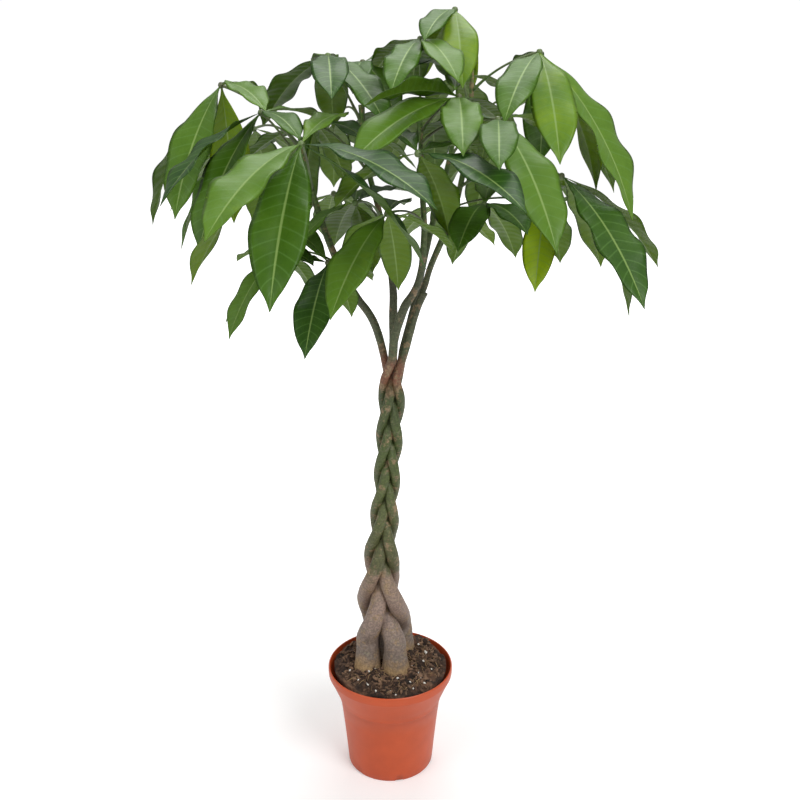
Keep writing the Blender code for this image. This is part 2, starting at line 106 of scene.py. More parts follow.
# Stem, stalk height, hub, then (heading, dip, length mm, roll) of each leaflet.
LEAVES: dict[str, Any] = {
    "left_high": (1, 0.955, (-0.210, -0.020, 1.025), ((173,60,210), (-110,49,200), (90,76,190), (-61,9,150),
        (75,11,130))),
    "left_mid": (1, 0.930, (-0.155, -0.070, 0.995), ((-125,28,200,20), (-166,57,200), (-124,52,200), (-63,
        10,130), (56,10,140))),
    "front_left": (1, 0.900, (-0.095, -0.200, 0.970), ((-44,14,215), (-98,43,225), (163,49,230), (127,40,
        160), (9,46,210), (71,-9,140), (-113,20,220))),
    "left_behind": (3, 0.920, (-0.095, 0.020, 0.975), ((-127,62,220), (146,25,150), (117,68,160), (71,42,
        140), (-57,7,140))),
    "left_low": (1, 0.800, (-0.145, -0.020, 0.815), ((-178,53,130), (-135,50,140), (-58,2,100), (136,17,
        100), (59,45,120))),
    "low_left": (1, 0.775, (-0.075, -0.100, 0.815), ((-99,33,160), (131,16,140), (71,49,120), (123,-12,130),
        (61,22,120))),
    "mid_low_left": (3, 0.860, (-0.040, -0.100, 0.890), ((-117,14,150,20), (105,30,160), (78,51,140), (56,0,
        120), (90,4,130))),
    "top_left": (3, 0.985, (-0.075, -0.020, 1.060), ((97,13,130), (129,31,190), (-85,16,160), (-60,27,170),
        (91,39,160))),
    "top_back": (3, 0.950, (-0.035, 0.080, 1.050), ((48,1,140), (-93,13,150), (121,21,140), (-70,26,150),
        (74,24,150))),
    "top_mid": (2, 0.980, (0.040, -0.030, 1.080), ((-105,23,150), (-73,18,150), (118,19,140), (65,27,150),
        (94,28,150))),
    "crown": (4, 1.045, (0.085, 0.030, 1.115), ((-88,35,160), (-110,17,130), (90,30,160), (76,55,150), (115,
        43,140))),
    "crown_low": (4, 0.990, (0.095, 0.020, 1.035), ((-97,6,120), (112,29,130), (47,18,140), (-119,-6,140),
        (76,35,160))),
    "right_top": (4, 1.020, (0.185, -0.050, 1.065), ((-86,39,190), (-38,54,240), (22,62,200), (-111,26,170),
        (94,18,140))),
    "right_back": (5, 0.960, (0.210, 0.080, 1.025), ((115,30,150), (-98,31,180), (65,26,160), (92,6,130),
        (22,52,200))),
    "front_right": (2, 0.960, (0.125, -0.180, 0.995), ((-70,39,200), (-94,15,150), (57,11,150), (93,25,160),
        (128,12,140))),
    "centre": (2, 0.975, (0.085, -0.100, 1.015), ((-91,18,170), (-131,1,170,30), (-135,20,190,-15), (57,23,
        160), (107,25,150))),
    "front_mid": (2, 0.930, (0.035, -0.200, 0.960), ((-57,12,200), (70,43,170), (107,-4,130), (54,5,130),
        (133,28,170))),
    "front_low": (2, 0.860, (0.000, -0.150, 0.885), ((-114,32,180), (82,51,150), (42,29,130), (119,35,140),
        (80,4,120))),
    "right_low": (4, 0.900, (0.215, -0.080, 0.920), ((20,40,200), (-63,37,220), (51,49,180), (1,62,210),
        (91,26,140))),
    "right_mid": (5, 0.850, (0.205, -0.020, 0.880), ((-102,40,150), (108,32,150), (69,44,150), (-134,-13,
        130), (28,15,130))),
    "mid_low_right": (4, 0.850, (0.120, -0.080, 0.885), ((-105,11,160), (63,37,150), (-73,6,140), (110,44,
        140), (81,-1,130))),
    "back_right": (5, 0.930, (0.165, 0.190, 0.945), ((10,45,180), (60,40,190), (104,50,190), (140,42,170),
        (-54,36,150))),
    "back_mid": (5, 0.965, (0.060, 0.200, 0.985), ((53,36,170), (85,38,190), (120,38,190), (155,18,170),
        (15,30,150))),
    "back_left": (3, 0.970, (-0.080, 0.185, 0.965), ((60,35,160), (95,38,190), (130,40,190), (161,25,180),
        (20,30,150))),
    "back_side": (1, 0.940, (-0.190, 0.120, 0.960), ((90,40,180), (125,30,190), (160,42,190), (195,42,170),
        (55,30,150))),
    "back_low": (5, 0.820, (0.070, 0.140, 0.850), ((43,31,150), (80,35,160), (120,35,160), (160,30,140))),
    "back_low_left": (3, 0.850, (-0.080, 0.120, 0.870), ((63,31,150), (100,35,160), (140,35,160), (180,32,
        150))),
}

STEM_NAMES = {1: "left", 2: "front", 3: "middle", 4: "right", 5: "back"}
SAG = math.radians(34)
STALK_GAP = 0.0009
CAP_SHARE = 0.05
VEIN_SLANT = 1.15
VEINS = 15.0
# Place along a leaflet and share of its half width there.
OUTLINE = ((0.0, 0.04), (0.07, 0.10), (0.18, 0.38), (0.32, 0.76), (0.48, 0.97), (0.62, 1.0), (0.76, 0.84),
    (0.87, 0.52), (0.94, 0.20), (1.0, 0.01))


class Tone(Enum):
    """How light a leaflet's green is painted: darker for painted shade, paler for a painted sheen, yellow for
    painted light shining through the blade.
    """

    SHADED = 0.12
    PLAIN = 0.36
    SHEEN = 0.62
    BACKLIT = 0.95


# Leaflets whose green stands out from their neighbours': the darkest are painted shade, the pale ones a
# painted sheen, the yellow ones painted light shining through.
TONES = {
    ("front_left", 0): Tone.SHADED, ("front_left", 1): Tone.PLAIN, ("front_left", 4): Tone.SHADED,
    ("front_mid", 0): Tone.SHADED, ("front_right", 0): Tone.SHEEN, ("centre", 0): Tone.SHEEN,
    ("crown", 0): Tone.SHEEN, ("crown", 3): Tone.BACKLIT, ("crown", 4): Tone.BACKLIT,
    ("right_top", 0): Tone.SHEEN, ("right_top", 2): Tone.BACKLIT, ("left_high", 2): Tone.BACKLIT,
    ("front_low", 0): Tone.SHEEN, ("right_low", 1): Tone.SHADED, ("low_left", 0): Tone.SHADED,
    ("left_mid", 0): Tone.SHADED, ("top_left", 3): Tone.PLAIN, ("right_mid", 0): Tone.BACKLIT,
}


# ---------------------------------------------------------------- node helpers
class Nodes:
    """A small builder for a node tree."""

    def __init__(self, tree: bpy.types.NodeTree) -> None:
        """Keep the tree that nodes are added to.

        Args:
            tree: node tree to add to.
        """
        self.tree = tree

    def add(self, kind: str, **settings: Any) -> bpy.types.Node:
        """Add one node.

        Args:
            kind: Blender's node type.
            settings: attributes to set on it.

        Returns:
            The new node.
        """
        node = self.tree.nodes.new(kind)
        for name, value in settings.items():
            setattr(node, name, value)
        return node

    def link(self, source: Any, target: Any) -> None:
        """Join an output to an input.

        Args:
            source: output.
            target: input.
        """
        self.tree.links.new(source, target)

    def feed(self, socket: Any, value: Any) -> None:
        """Set or link an input, whichever the value calls for.

        Args:
            socket: input to set.
            value: a plain value or an output.
        """
        if isinstance(value, bpy.types.NodeSocket):
            self.link(value, socket)
        else:
            socket.default_value = value

    def math(self, operation: str, a: Any, b: Any = 0.0, c: Any = 0.0) -> Any:
        """One maths step on up to three values.

        Args:
            operation: Blender's name of the step.
            a: first value.
            b: second value.
            c: third value.

        Returns:
            Its output socket.
        """
        node = self.add("ShaderNodeMath", operation=operation)
        for socket, value in zip(node.inputs, (a, b, c)):
            self.feed(socket, value)
        return node.outputs[0]

    def ramp(self, value: Any, stops: list[tuple[float, tuple[float, ...]]]) -> Any:
        """A colour ramp on a value.

        Args:
            value: a plain value or an output.
            stops: places and colours of the ramp.

        Returns:
            Its colour socket.
        """
        node = self.add("ShaderNodeValToRGB")
        points = node.color_ramp.elements
        while len(points) < len(stops):
            points.new(0.5)
        for point, (place, colour) in zip(points, stops):
            point.position = place
            point.color = (*colour, 1.0) if len(colour) == 3 else colour
        self.feed(node.inputs[0], value)
        return node.outputs[0]

    def mix(self, factor: Any, a: Any, b: Any, blend: str = "MIX") -> Any:
        """Mix two colours.

        Args:
            factor: share of the second colour.
            a: first value.
            b: second value.
            blend: Blender's name of the blend.

        Returns:
            The mixed colour socket.
        """
        node = self.add("ShaderNodeMix", data_type="RGBA", blend_type=blend)
        self.feed(node.inputs[0], factor)
        for socket, value in ((node.inputs[6], a), (node.inputs[7], b)):
            self.feed(socket, value if isinstance(value, bpy.types.NodeSocket) else (*value, 1.0))
        return node.outputs[2]

    def noise(self, vector: Any, scale: float, detail: float = 3.0, rough: float = 0.55) -> Any:
        """Noise on a vector.

        Args:
            vector: where the pattern is read.
            scale: how many per metre, roughly.
            detail: number of octaves.
            rough: weight of the finer octaves.

        Returns:
            Its value socket, from 0 to 1.
        """
        node = self.add("ShaderNodeTexNoise")
        self.link(vector, node.inputs["Vector"])
        node.inputs["Scale"].default_value = scale
        node.inputs["Detail"].default_value = detail
        node.inputs["Roughness"].default_value = rough
        return node.outputs[0]


def new_material(name: str) -> tuple[bpy.types.Material, Nodes, bpy.types.Node]:
    """A material with a Principled shader.

    Args:
        name: the material's name.

    Returns:
        The material, a node builder for it and its shader.
    """
    made = bpy.data.materials.new(name)
    made.use_nodes = True
    return made, Nodes(made.node_tree), made.node_tree.nodes["Principled BSDF"]


def mottle_group() -> bpy.types.NodeTree:
    """Node group: soft two-scale mottling between 0 and 1 on a vector.

    Returns:
        The group, with inputs Vector and Scale and output Amount.
    """
    group = bpy.data.node_groups.new("mottle", "ShaderNodeTree")
    group.interface.new_socket("Vector", in_out="INPUT", socket_type="NodeSocketVector")
    group.interface.new_socket("Scale", in_out="INPUT", socket_type="NodeSocketFloat")
    group.interface.new_socket("Amount", in_out="OUTPUT", socket_type="NodeSocketFloat")
    nodes = Nodes(group)
    entry, leave = nodes.add("NodeGroupInput"), nodes.add("NodeGroupOutput")
    sizes = (entry.outputs["Scale"], nodes.math("MULTIPLY", entry.outputs["Scale"], 4.3))
    parts = []
    for size in sizes:
        cloud = nodes.add("ShaderNodeTexNoise")
        nodes.link(entry.outputs["Vector"], cloud.inputs["Vector"])
        nodes.link(size, cloud.inputs["Scale"])
        cloud.inputs["Detail"].default_value = 4.0
        parts.append(cloud.outputs[0])
    total = nodes.math("ADD", nodes.math("MULTIPLY", parts[0], 0.65), nodes.math("MULTIPLY", parts[1], 0.35))
    nodes.link(total, leave.inputs["Amount"])
    return group


def mottle(nodes: Nodes, group: bpy.types.NodeTree, vector: Any, scale: float) -> Any:
    """Place the mottle group.

    Args:
        nodes: builder of the material.
        group: the mottle node group.
        vector: where the pattern is read.
        scale: how many per metre, roughly.

    Returns:
        Its output socket.
    """
    node = nodes.add("ShaderNodeGroup")
    node.node_tree = group
    nodes.link(vector, node.inputs["Vector"])
    node.inputs["Scale"].default_value = scale
    return node.outputs["Amount"]


def bump(nodes: Nodes, shader: bpy.types.Node, height: Any, strength: float, distance: float) -> None:
    """Feed a height to a shader's normal.

    Args:
        nodes: builder of the material.
        shader: the Principled shader.
        height: height output.
        strength: how much of the relief shows.
        distance: relief in metres.
    """
    node = nodes.add("ShaderNodeBump")
    node.inputs["Strength"].default_value = strength
    node.inputs["Distance"].default_value = distance
    nodes.link(height, node.inputs["Height"])
    nodes.link(node.outputs[0], shader.inputs["Normal"])


# ---------------------------------------------------------------- finishes
@dataclass(frozen=True)
class PotPlastic:
    """Terracotta-coloured moulded plastic."""

    colour: Colour = (0.56, 0.082, 0.018)
    worn: Colour = (0.50, 0.072, 0.016)
    roughness: float = 0.42

    def make(self, group: bpy.types.NodeTree) -> bpy.types.Material:
        """Build the material.

        Args:
            group: the mottle node group.

        Returns:
            The material.
        """
        made, nodes, shader = new_material("terracotta_plastic")
        where = nodes.add("ShaderNodeTexCoord").outputs["Object"]
        amount = mottle(nodes, group, where, 14.0)
        nodes.link(nodes.mix(nodes.ramp(amount, [(0.38, (0, 0, 0)), (0.62, (1, 1, 1))]), self.worn,
            self.colour), shader.inputs["Base Color"])
        shader.inputs["Roughness"].default_value = self.roughness
        bump(nodes, shader, nodes.noise(where, 420.0), 0.12, 0.0004)
        return made


@dataclass(frozen=True)
class Peat:
    """Dark potting soil with brown patches."""

    dark: Colour = (0.012, 0.008, 0.006)
    brown: Colour = (0.17, 0.090, 0.052)

    def make(self, group: bpy.types.NodeTree) -> bpy.types.Material:
        """Build the material.

        Args:
            group: the mottle node group.

        Returns:
            The material.
        """
        made, nodes, shader = new_material("potting_soil")
        where = nodes.add("ShaderNodeTexCoord").outputs["Object"]
        amount = mottle(nodes, group, where, 46.0)
        colour = nodes.ramp(amount, [(0.36, self.dark), (0.50, (0.05, 0.027, 0.017)), (0.64, self.brown)])
        nodes.link(colour, shader.inputs["Base Color"])
        shader.inputs["Roughness"].default_value = 0.95
        bump(nodes, shader, nodes.noise(where, 520.0, 5.0), 0.8, 0.0015)
        return made


@dataclass(frozen=True)
class Bits:
    """Plain dry bits on the soil: chips, fibres and white grains."""

    name: str
    colour: Colour
    other: Colour

    def make(self, group: bpy.types.NodeTree) -> bpy.types.Material:
        """Build the material.

        Args:
            group: the mottle node group.

        Returns:
            The material.
        """
        made, nodes, shader = new_material(self.name)
        where = nodes.add("ShaderNodeTexCoord").outputs["Object"]
        amount = mottle(nodes, group, where, 60.0)
        nodes.link(nodes.ramp(amount, [(0.40, self.colour), (0.60, self.other)]), shader.inputs["Base Color"])
        shader.inputs["Roughness"].default_value = 0.9
        return made


@dataclass(frozen=True)
class Bark:
    """Stem bark: grey-brown at the foot, mottled green above, corky at the tie, olive in the crown."""

    def make(self, group: bpy.types.NodeTree) -> bpy.types.Material:
        """Build the material.

        Args:
            group: the mottle node group.

        Returns:
            The material.
        """
        made, nodes, shader = new_material("stem_bark")
        where = nodes.add("ShaderNodeTexCoord").outputs["Object"]
        split = nodes.add("ShaderNodeSeparateXYZ")
        nodes.link(where, split.inputs[0])
        blotch = mottle(nodes, group, where, 26.0)
        shifted = nodes.math("ADD", split.outputs[2], nodes.math("MULTIPLY", nodes.math("SUBTRACT", blotch,
            0.5), 0.075))
        base = nodes.ramp(shifted, [
            (0.178, (0.40, 0.26, 0.13)), (0.200, (0.20, 0.155, 0.125)), (0.27, (0.28, 0.195, 0.155)),
             (0.325, (0.27, 0.185, 0.13)),
            (0.338, (0.095, 0.095, 0.035)), (0.44, (0.095, 0.115, 0.032)), (0.52, (0.075, 0.105, 0.024)),
             (0.615, (0.070, 0.092, 0.028)),
            (0.632, (0.21, 0.085, 0.042)), (0.660, (0.20, 0.085, 0.045)), (0.676, (0.085, 0.105, 0.045)),
             (0.760, (0.075, 0.080, 0.040)),
            (0.83, (0.085, 0.13, 0.035)), (1.0, (0.11, 0.21, 0.035))])
        scars = nodes.ramp(mottle(nodes, group, where, 58.0), [(0.53, (0, 0, 0)), (0.60, (0.8, 0.8, 0.8))])
        scarred = nodes.mix(scars, base, (0.30, 0.20, 0.11))
        band = nodes.math("FRACT", nodes.math("ADD", nodes.math("MULTIPLY", split.outputs[2], 46.0),
            nodes.math("MULTIPLY", blotch, 3.2)))
        ring = nodes.ramp(band, [(0.0, (0.55, 0.55, 0.55)), (0.05, (0, 0, 0)), (0.95, (0, 0, 0)),
            (1.0, (0.55, 0.55, 0.55))])
        ringed = nodes.mix(ring, scarred, (0.23, 0.21, 0.12))
        speck = nodes.ramp(nodes.noise(where, 340.0, 2.0), [(0.42, (0.72, 0.72, 0.72)), (0.62, (1.12, 1.12,
            1.12))])
        nodes.link(nodes.mix(1.0, ringed, speck, "MULTIPLY"), shader.inputs["Base Color"])
        shader.inputs["Roughness"].default_value = 0.56
        bump(nodes, shader, nodes.math("ADD", nodes.noise(where, 170.0, 4.0),
            nodes.math("MULTIPLY", band, 0.15)), 0.45, 0.0012)
        return made


@dataclass(frozen=True)
class Stalk:
    """Leaf stalks: green with a dull red-grey cast."""

    def make(self, group: bpy.types.NodeTree) -> bpy.types.Material:
        """Build the material.

        Args:
            group: the mottle node group.

        Returns:
            The material.
        """
        made, nodes, shader = new_material("leaf_stalk")
        where = nodes.add("ShaderNodeTexCoord").outputs["Object"]
        amount = mottle(nodes, group, where, 18.0)
        nodes.link(nodes.ramp(amount, [(0.40, (0.10, 0.11, 0.05)), (0.60, (0.13, 0.21, 0.06))]),
            shader.inputs["Base Color"])
        shader.inputs["Roughness"].default_value = 0.45
        return made


@dataclass(frozen=True)
class Blade:
    """Leaf blade: green by tone, holding painted shade, sheen and light shining through; pale midrib and side
    veins; a lighter yellow-green below, painted light shining through the blade.

    The blade attribute holds (place across from -1 to 1, vein count along, 1 above or 0 below)
    and the first number of the tint attribute is the tone.
    """

    # Tone ramp colours: dark also serves painted shade, pale a painted sheen and the yellow end painted light
    # shining through, besides the leaves' own random spread of green.
    dark: Colour = (0.016, 0.058, 0.006)
    plain: Colour = (0.048, 0.122, 0.005)
    pale: Colour = (0.095, 0.195, 0.014)
    yellow_and_backlit: Colour = (0.24, 0.36, 0.006)
    # Underside colour: painted light shining through the blade from above.
    under: Colour = (0.15, 0.25, 0.006)

    def make(self, group: bpy.types.NodeTree) -> bpy.types.Material:
        """Build the material.

        Args:
            group: the mottle node group.

        Returns:
            The material.
        """
        made, nodes, shader = new_material("leaf_blade")
        blade = nodes.add("ShaderNodeAttribute", attribute_name="blade").outputs["Vector"]
        tint = nodes.add("ShaderNodeAttribute", attribute_name="tint").outputs["Vector"]
        where = nodes.add("ShaderNodeTexCoord").outputs["Object"]
        place, hue = nodes.add("ShaderNodeSeparateXYZ"), nodes.add("ShaderNodeSeparateXYZ")
        nodes.link(blade, place.inputs[0])
        nodes.link(tint, hue.inputs[0])
        across = nodes.math("ABSOLUTE", place.outputs[0])
        patch = mottle(nodes, group, where, 22.0)
        tone = nodes.math("ADD", hue.outputs[0], nodes.math("MULTIPLY", nodes.math("SUBTRACT", patch, 0.5),
            0.5))
        # Tone ramp: painted shade at the dark end, painted sheen at the pale end, painted light shining
        # through at the yellow end.
        upper = nodes.ramp(tone, [(0.05, self.dark), (0.36, self.plain), (0.64, self.pale),
            (0.95, self.yellow_and_backlit)])
        # Underside: a lighter yellow-green, painted light shining through the blade.
        lower = nodes.mix(tone, (0.060, 0.130, 0.006), self.under)
        body = nodes.mix(place.outputs[2], lower, upper)
        vein = nodes.math("FRACT", nodes.math("SUBTRACT", place.outputs[1],
            nodes.math("MULTIPLY", across, VEIN_SLANT)))
        near = nodes.math("ABSOLUTE", nodes.math("SUBTRACT", vein, 0.5))
        line = nodes.ramp(near, [(0.0, (0.42, 0.42, 0.42)), (0.10, (0.0, 0.0, 0.0))])
        veined = nodes.mix(line, body, (0.11, 0.23, 0.050))
        rib = nodes.ramp(across, [(0.022, (0.85, 0.85, 0.85)), (0.060, (0.0, 0.0, 0.0))])
        ribbed = nodes.mix(rib, veined, (0.22, 0.33, 0.09))
        nodes.link(ribbed, shader.inputs["Base Color"])
        nodes.link(nodes.math("ADD", 0.36, nodes.math("MULTIPLY", patch, 0.16)), shader.inputs["Roughness"])
        shader.inputs["Specular IOR Level"].default_value = 0.24
        fine = nodes.math("ADD", nodes.math("MULTIPLY", near, 0.9),
            nodes.math("MULTIPLY", nodes.noise(where, 230.0, 2.0), 0.25))
        bump(nodes, shader, fine, 0.45, 0.0011)
        return made


# ---------------------------------------------------------------- meshes
def loft(rings: Array) -> tuple[Array, Array]:
    """Body through rings, with a small ring drawn towards the middle at each end.

    Args:
        rings: (n, k, 3) rings of points.

    Returns:
        Vertices and quads of the wall; end_fans closes the two small rings.
    """
    n, k, _ = rings.shape
    middle = rings[[0, -1]].mean(axis=1, keepdims=True)
    caps = middle + (rings[[0, -1]] - middle) * CAP_SHARE
    full = np.concatenate([caps[:1], rings, caps[1:]])
    i = np.arange((n + 1) * k).reshape(n + 1, k)
    quads = np.stack([i, np.roll(i, -1, 1), np.roll(i, -1, 1) + k, i + k], -1).reshape(-1, 4)
    return full.reshape(-1, 3), quads


def end_fans(n: int, k: int, base: int) -> list[tuple[int, ...]]:
    """The two small end faces that close a loft.

    Args:
        n: rings given to the loft.
        k: points round each ring.
        base: index of the loft's first vertex.

    Returns:
        Corner indices of the first and the last face, both facing outward.
    """
    first = tuple(base + j for j in range(k))[::-1]
    last = tuple(base + (n + 1) * k + j for j in range(k))
    return [first, last]


def smooth_run(points: Array, step: float) -> Array:
    """Catmull-Rom run through control points.

    Args:
        points: (n, 4) control points.
        step: rough distance between points of the run.

    Returns:
        (m, 4) points, ending on the last control point.
    """
    pts = np.asarray(points, float)
    p = np.vstack([2 * pts[0] - pts[1], pts, 2 * pts[-1] - pts[-2]])
    out = []
    for i in range(1, len(p) - 2):
        n = max(2, int(round(np.linalg.norm(p[i + 1, :3] - p[i, :3]) / step)))
        t = (np.arange(n) / n)[:, None]
        out.append(0.5 * (2 * p[i] + (p[i + 1] - p[i - 1]) * t
                          + (2 * p[i - 1] - 5 * p[i] + 4 * p[i + 1] - p[i + 2]) * t**2
                          + (3 * p[i] - p[i - 1] - 3 * p[i + 1] + p[i + 2]) * t**3))
    return np.vstack(out + [p[-2][None]])


def tube_rings(points: Array, sides: int, rough: Array | None = None) -> Array:
    """Rings square to a path: ring = centre + r (u cos a + w sin a), u carried without twist.

    Args:
        points: (n, 4) centre and diameter.
        sides: points round each ring.
        rough: (n, sides) factors on the radius.

    Returns:
        (n, sides, 3) rings.
    """
    along = np.gradient(points[:, :3], axis=0)
    along /= np.linalg.norm(along, axis=1)[:, None]
    first = np.cross(along[0], (0.0, -1.0, 0.0))
    if np.linalg.norm(first) < 0.2:
        first = np.cross(along[0], (1.0, 0.0, 0.0))
    across = [first / np.linalg.norm(first)]
    for t in along[1:]:
        u = across[-1] - t * (across[-1] @ t)
        across.append(u / np.linalg.norm(u))
    u = np.array(across)
    w = np.cross(along, u)
    a = np.arange(sides) * 2 * math.pi / sides
    radius = points[:, 3:4] / 2 * (1.0 if rough is None else rough)
    radius = np.broadcast_to(radius, (len(points), sides))
    return points[:, None, :3] + (np.cos(a)[None, :, None] * u[:, None] + np.sin(a)[None, :, None] * w[:,
        None]) * radius[..., None]


def closed_object(name: str, lofts: list[Array], node: str | None,
    material: bpy.types.Material) -> bpy.types.Object:
    """One object from several lofted bodies, with their end faces.

    Args:
        name: object name.
        lofts: rings of each body.
        node: CAD node that it stands for, if any.
        material: its finish.

    Returns:
        The object, fastened to the frame.
    """
    points, faces, base = [], [], 0
    for rings in lofts:
        p, q = loft(rings)
        points.append(p)
        faces += (q + base).tolist() + end_fans(rings.shape[0], rings.shape[1], base)
        base += len(p)
    mesh = bpy.data.meshes.new(name)
    mesh.from_pydata(np.vstack(points).tolist(), [], faces)
    mesh.polygons.foreach_set("use_smooth", np.ones(len(mesh.polygons), bool))
    mesh.update()
    mesh.materials.append(material)
    made = bpy.data.objects.new(name, mesh)
    bpy.context.scene.collection.objects.link(made)
    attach(made, "root")
    if node:
        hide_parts(node)
    LOG.info("%s: %d points", name, base)
    return made


# ---------------------------------------------------------------- pot
@dataclass
class NurseryPot:
    """Flared nursery pot with a thick lip, a step under the flare and notches in its foot."""

    sides: int = 180
    notch_height: float = 0.0022
    notch_half_angle: float = math.radians(4.5)

    def build(self, finish: bpy.types.Material) -> None:
        """Turn the profile round Z: point = (r cos a, r sin a, z).

        Args:
            finish: material.
        """
        outside = smooth_run(np.array([(r, 0.0, z, 0.0) for r, z in POT_OUTSIDE[:10]]), 0.002)[:, [0, 2]]
        profile = np.vstack([[(0.002, POT_INSIDE[0][1])], POT_INSIDE, outside, POT_OUTSIDE[10:], POT_FOOT,
            [(0.002, 0.0)]])
        a = np.arange(self.sides) * 2 * math.pi / self.sides
        r, z = profile[:, :1], np.repeat(profile[:, 1:], self.sides, 1)
        rings = np.stack([r * np.cos(a), r * np.sin(a), z], -1)
        turn = (a - math.radians(-78) + math.radians(30)) % math.radians(60) - math.radians(30)
        cut = (np.abs(turn) < self.notch_half_angle)[None, :] & (profile[:, :1] > 0.0600) & (profile[:,
            1:] < self.notch_height)
        rings[..., 2] = np.where(cut, self.notch_height, rings[..., 2])
        closed_object("nursery_pot", [rings[::-1]], "pot", finish)


# ---------------------------------------------------------------- soil
@dataclass
class SoilBed:
    """Lumpy mound of peat with chips, fibres and white grains on it."""

    rim: float = 0.0862
    seed: int = 11
    rng: np.random.Generator = field(init=False)
    waves: Array = field(init=False)

    def __post_init__(self) -> None:
        """Draw the swells that make the lumps."""
        self.rng = np.random.default_rng(self.seed)
        self.waves = np.stack([self.rng.uniform(-1, 1, 60), self.rng.uniform(-1, 1, 60),
            self.rng.uniform(0, 6.28, 60)], 1)

    def height(self, x: Array, y: Array) -> Array:
        """Surface height: a low mound plus sixty sine swells, the finer the lower.

        Args:
            x: places across.
            y: places in depth.

        Returns:
            Heights, in the shape of x.
        """
        r = np.hypot(x + 0.004, y - 0.006)
        mound = np.interp(r, (0.0, 0.035, 0.055, 0.070, 0.0862), (0.1775, 0.1755, 0.1720, 0.1690, 0.1655))
        lumps = np.zeros_like(r)
        for i, (kx, ky, phase) in enumerate(self.waves):
            rate = 150 + 22 * i
            lumps += np.sin(rate * (kx * x + ky * y) + phase) * 0.10 / rate
        return mound + lumps * 2.2 + 0.007 * np.exp(-((x - 0.045) ** 2 + (y - 0.055) ** 2) / 0.0009)

    def bed(self, finish: bpy.types.Material) -> None:
        """Surface of rings under the height function, closed below.

        Args:
            finish: material.
        """
        a = np.arange(150) * 2 * math.pi / 150
        radii = np.linspace(0.001, self.rim, 66)
        x, y = radii[:, None] * np.cos(a), radii[:, None] * np.sin(a)
        top = np.stack([x, y, self.height(x, y)], -1)
        low = [np.stack([r * np.cos(a), r * np.sin(a), np.full_like(a, z)], -1) for r,
            z in ((0.0765, 0.125), (0.0600, 0.020), (0.001, 0.0072))]
        closed_object("soil_bed", [np.concatenate([top, np.array(low)])[::-1]], "soil", finish)

    def scatter(self, count: int, reach: float) -> Array:
        """Random places on the surface, away from the trunk's middle.

        Args:
            count: how many.
            reach: furthest distance from the axis.

        Returns:
            (count, 3) points.
        """
        a, r = self.rng.uniform(0, 2 * math.pi, count), np.sqrt(self.rng.uniform(0.06, 1.0, count)) * reach
        x, y = r * np.cos(a), r * np.sin(a)
        return np.stack([x, y, self.height(x, y)], -1)

    def chips(self, name: str, count: int, size: tuple[float, float], flat: float,
        finish: bpy.types.Material) -> None:
        """Small rough lumps: a ball of rings scaled and turned at random for each.

        Args:
            name: object name.
            count: how many.
            size: least and greatest half length.
            flat: width as a share of length.
            finish: material.
        """
        lofts = []
        for p in self.scatter(count, self.rim - 0.006):
            s = self.rng.uniform(*size)
            axis = self.rng.normal(size=3) * (1.0, 1.0, 0.35)
            axis *= s / np.linalg.norm(axis)
            line = p + np.array([0, 0, s * 0.15]) + np.linspace(-1, 1, 4)[:, None] * axis
            width = s * 2 * flat * np.array([0.35, 1.0, 0.9, 0.3])
            lofts.append(tube_rings(np.hstack([line, width[:, None]]), 6, self.rng.uniform(0.7, 1.3, (4, 6))))
        closed_object(name, lofts, None, finish)

    def fibres(self, count: int, finish: bpy.types.Material) -> None:
        """Thin curled root hairs and straws lying on the soil.

        Args:
            count: how many.
            finish: material.
        """
        lofts = []
        for p in self.scatter(count, self.rim - 0.012):
            a, length, curl = self.rng.uniform(0, 6.28), self.rng.uniform(0.008,
                0.024), self.rng.uniform(-1.6, 1.6)
            t = np.linspace(-0.5, 0.5, 7)
            bend = a + curl * t
            x, y = p[0] + length * t * np.cos(bend), p[1] + length * t * np.sin(bend)
            inside = np.minimum(1.0, (self.rim - 0.003) / np.maximum(np.hypot(x, y), 1e-6))
            x, y = x * inside, y * inside
            z = self.height(x, y) + 0.0008 + 0.0012 * np.cos(6 * t)
            lofts.append(tube_rings(np.stack([x, y, z, np.full_like(t, self.rng.uniform(0.0004, 0.0009))],
                1), 5))
        closed_object("soil_fibres", lofts, None, finish)


